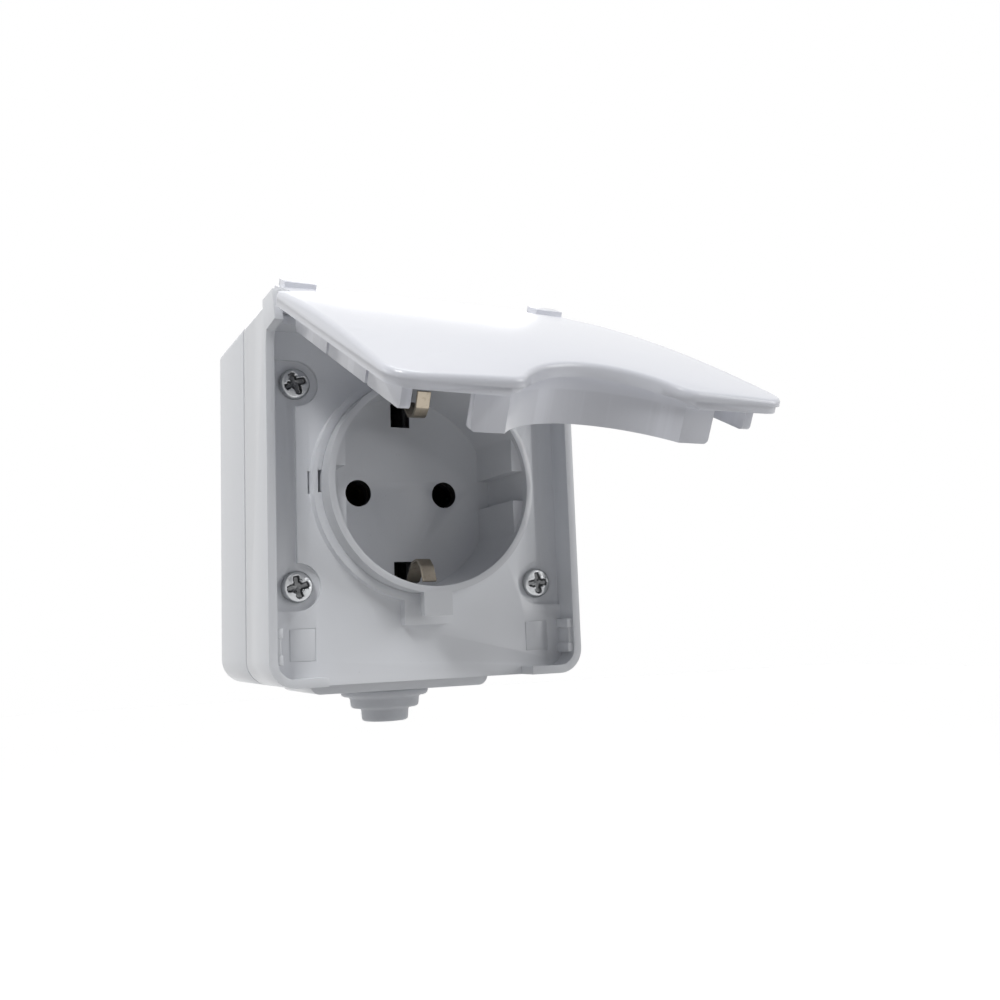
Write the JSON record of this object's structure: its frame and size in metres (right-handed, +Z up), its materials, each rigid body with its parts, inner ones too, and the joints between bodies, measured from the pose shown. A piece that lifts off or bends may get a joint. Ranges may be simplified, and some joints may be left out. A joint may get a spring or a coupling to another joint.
{
  "type": "outdoor weatherproof socket",
  "caption": "Surface-mounted splash-protected socket outlet: round recessed well with side earthing clips, square housing and a hinged domed lid.",
  "frame": {"origin": "on the wall plane, on the axis of the round well", "axes": "+Y into the wall, +Z up, +X to the right seen from the front; the front faces -Y"},
  "size_m": [0.0654, 0.1089, 0.0854],
  "materials": {
    "shell": "smooth satin white-grey moulding",
    "lid": "smooth glossy white-grey moulding",
    "well": "smooth satin white-grey moulding",
    "insert": "matt dark grey moulding",
    "seal": "soft grey rubber",
    "grommet": "soft pale grey rubber",
    "earth_metal": "nickel-plated brass strip",
    "contact_metal": "bare brass",
    "screw_metal": "zinc-plated steel"
  },
  "bodies": {
    "housing": {"front_cover": "shell", "back_box": "shell", "socket_cup": "well", "insert_base": "insert", "box_gasket": "seal", "cable_grommet": "grommet", "earth_strap": "earth_metal", "contact_left": "contact_metal", "contact_right": "contact_metal", "terminal_screw_left": "screw_metal", "terminal_screw_right": "screw_metal", "terminal_screw_earth": "screw_metal", "insert_screw_upper": "screw_metal", "insert_screw_lower": "screw_metal", "hinge_pin_left": "screw_metal", "hinge_pin_right": "screw_metal", "cover_screw_upper_left": "screw_metal", "cover_screw_upper_right": "screw_metal", "cover_screw_lower_left": "screw_metal", "cover_screw_lower_right": "screw_metal"},
    "lid": {"lid": "lid", "lid_seal": "seal"}
  },
  "joints": [
    {"name": "lid_hinge", "type": "hinge", "parent": "housing", "child": "lid", "pos_m": [0, -0.0427, 0.0336], "axis": [-1, 0, 0], "range_deg": [-64, 41]}
  ]
}
